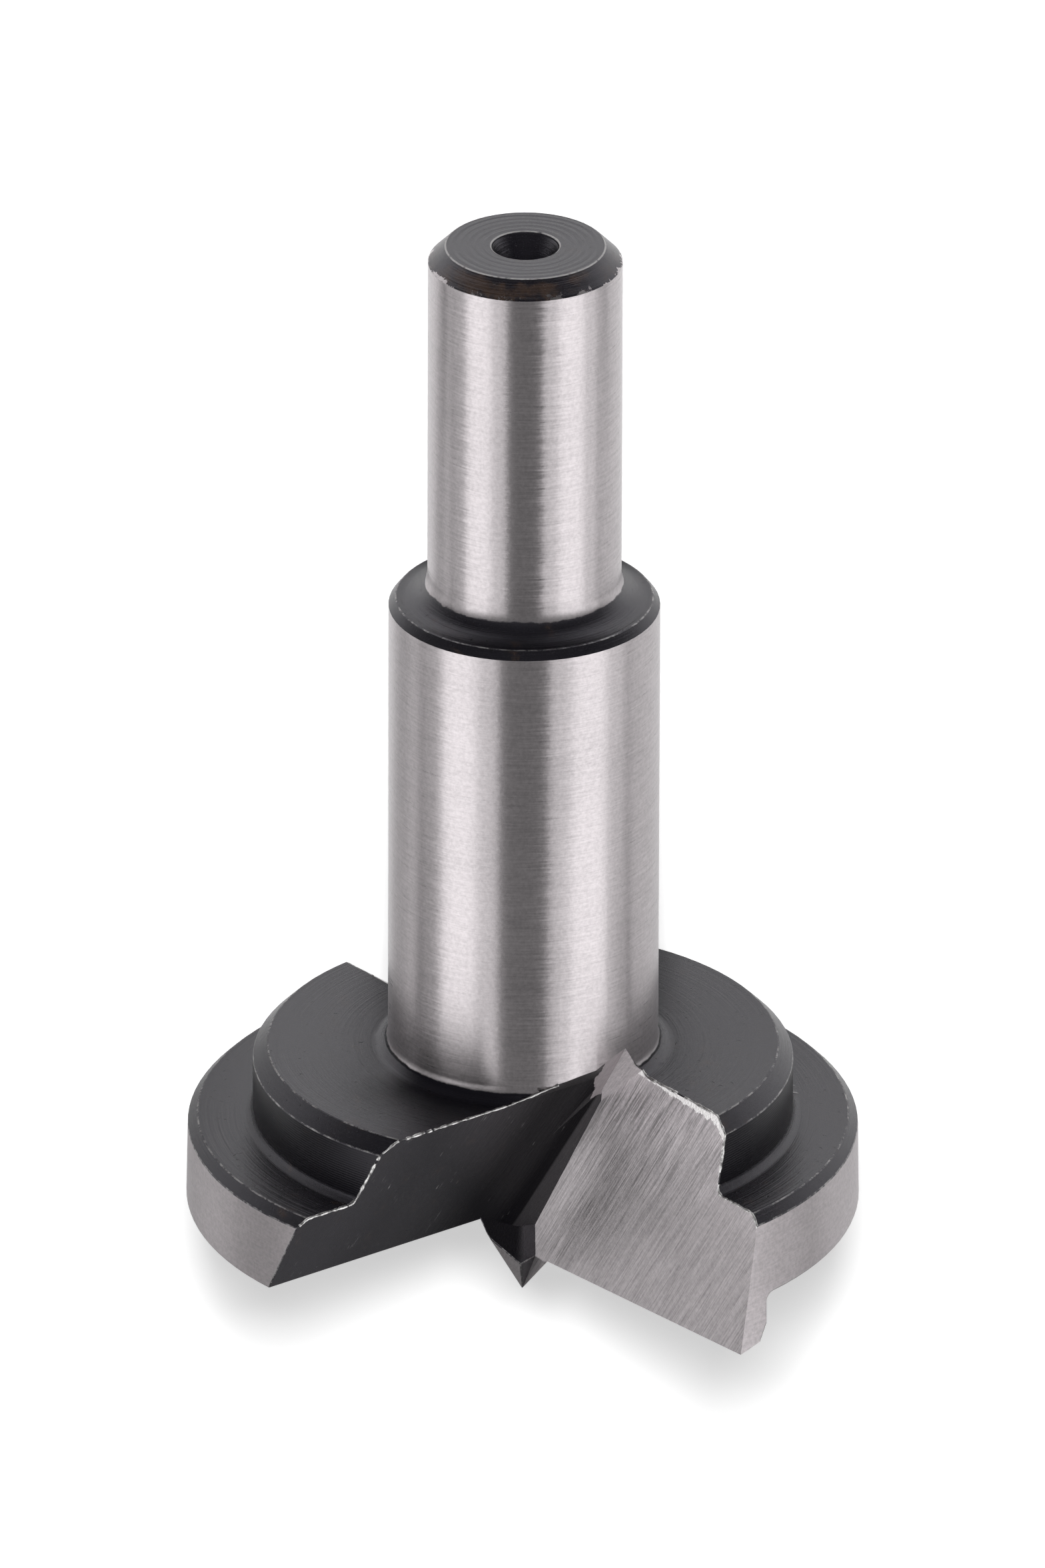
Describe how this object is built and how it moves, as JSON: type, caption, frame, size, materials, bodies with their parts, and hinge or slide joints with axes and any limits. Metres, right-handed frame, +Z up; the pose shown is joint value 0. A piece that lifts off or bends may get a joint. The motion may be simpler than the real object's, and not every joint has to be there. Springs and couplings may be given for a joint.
{
  "type": "forstner bit",
  "caption": "One-piece steel Forstner bit for 35 mm hinge holes: ground 10 mm shank, 14 mm neck, stepped cutter head with two notched gullets, lying as it rests.",
  "frame": {"origin": "on the ground, under the middle of the bounding box", "axes": "+Y along the ground from the cutter head to the shank end, +Z up; the tool axis dips 9.2 degrees towards the shank end"},
  "size_m": [0.0348, 0.0594, 0.0271],
  "materials": {
    "tool_steel": "ground bright on shank, neck, rim and rake faces, black oxide elsewhere"
  },
  "bodies": {
    "root": {"forstner_bit": "tool_steel"}
  },
  "joints": []
}
